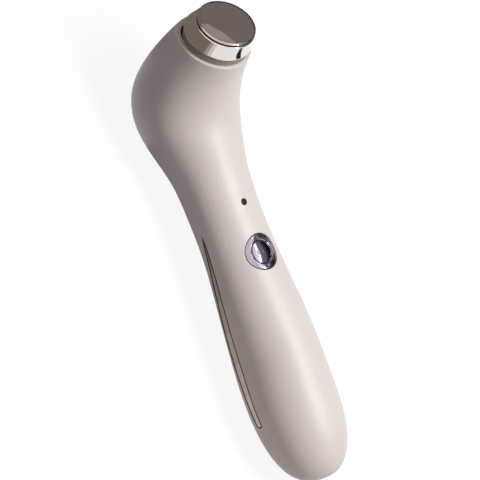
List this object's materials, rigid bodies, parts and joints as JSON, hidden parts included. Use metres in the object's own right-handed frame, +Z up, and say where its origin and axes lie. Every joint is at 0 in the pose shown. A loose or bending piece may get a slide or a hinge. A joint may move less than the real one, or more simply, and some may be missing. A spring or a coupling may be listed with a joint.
{
  "type": "cooling facial massager",
  "caption": "Hand-held cooling facial massager: waisted handle bent to a round cooling plate, push button, side strips, and the electronics inside.",
  "frame": {"origin": "under the middle of the wand as it lies on its back, at the height of the surface it rests on", "axes": "+X along the wand from the tail to the head, +Y to the wand's left side, +Z up, out of the front that carries the button"},
  "size_m": [0.173, 0.0376, 0.0617],
  "materials": {
    "pearl_plastic": "satin pearl greige moulding",
    "strip_metal": "polished strip",
    "contact_metal": "plated contact",
    "dark_rubber": "soft black rubber",
    "bright_chrome": "polished chrome",
    "mirror_steel": "polished to a dark mirror",
    "ceramic": "white alumina",
    "pellet_metal": "grey semiconductor",
    "sink_aluminium": "bare extrusion",
    "grey_rubber": "soft grey pad",
    "black_plastic": "moulded black",
    "dark_glass": "glass bead",
    "button_chrome": "polished metal cap",
    "led_plastic": "clear moulding",
    "smoked_glass": "smoked window",
    "green_board": "solder mask",
    "white_plastic": "moulded white",
    "screw_steel": "bright steel",
    "grey_plastic": "moulded grey",
    "cell_wrap": "shrunk sleeve",
    "weight_metal": "sintered heavy metal",
    "red_wire": "wire sleeve",
    "blue_wire": "wire sleeve",
    "yellow_wire": "wire sleeve"
  },
  "bodies": {
    "housing": {"front_shell": "pearl_plastic", "rear_shell": "pearl_plastic", "side_strip_left": "strip_metal", "side_strip_right": "strip_metal", "strip_pins": "contact_metal", "neck_gasket": "dark_rubber", "chrome_skirt": "bright_chrome", "cooling_plate": "mirror_steel", "plate_seal": "dark_rubber", "cold_ceramic": "ceramic", "hot_ceramic": "ceramic", "cooler_pellets": "pellet_metal", "heat_sink": "sink_aluminium", "thermal_pad": "grey_rubber", "head_frame": "black_plastic", "temperature_sensor": "dark_glass", "switch_body": "black_plastic", "pilot_led": "led_plastic", "light_pipe": "smoked_glass", "main_board": "green_board", "board_chips": "black_plastic", "wire_sockets": "white_plastic", "board_screws": "screw_steel", "inner_tray": "grey_plastic", "battery_cell": "cell_wrap", "battery_tabs": "contact_metal", "battery_pads": "grey_rubber", "motor_can": "screw_steel", "motor_sleeve": "dark_rubber", "port_shell": "screw_steel", "port_tongue": "black_plastic", "charge_board": "green_board", "cooler_leads": "red_wire", "motor_leads": "blue_wire", "battery_leads": "red_wire", "charge_leads": "yellow_wire"},
    "button": {"power_button": "button_chrome"},
    "plunger": {"switch_plunger": "black_plastic"},
    "rotor": {"motor_weight": "weight_metal"}
  },
  "joints": [
    {"name": "button_press", "type": "slide", "parent": "housing", "child": "button", "axis": [-0.0698, 0, -0.9976], "range_m": [0, 0.0005], "stiffness_N_per_m": 400, "springref_m": -0.0002},
    {"name": "plunger_press", "type": "slide", "parent": "housing", "child": "plunger", "axis": [0, 0, -1], "range_m": [0, 0.00055], "stiffness_N_per_m": 5, "springref_m": -0.0002},
    {"name": "motor_spin", "type": "hinge", "parent": "housing", "child": "rotor", "pos_m": [0.045, 0, 0.011], "axis": [1, 0, 0], "continuous": true}
  ],
  "couplings": [
    {"joint": "plunger_press", "follows": "button_press", "ratio": 1}
  ]
}
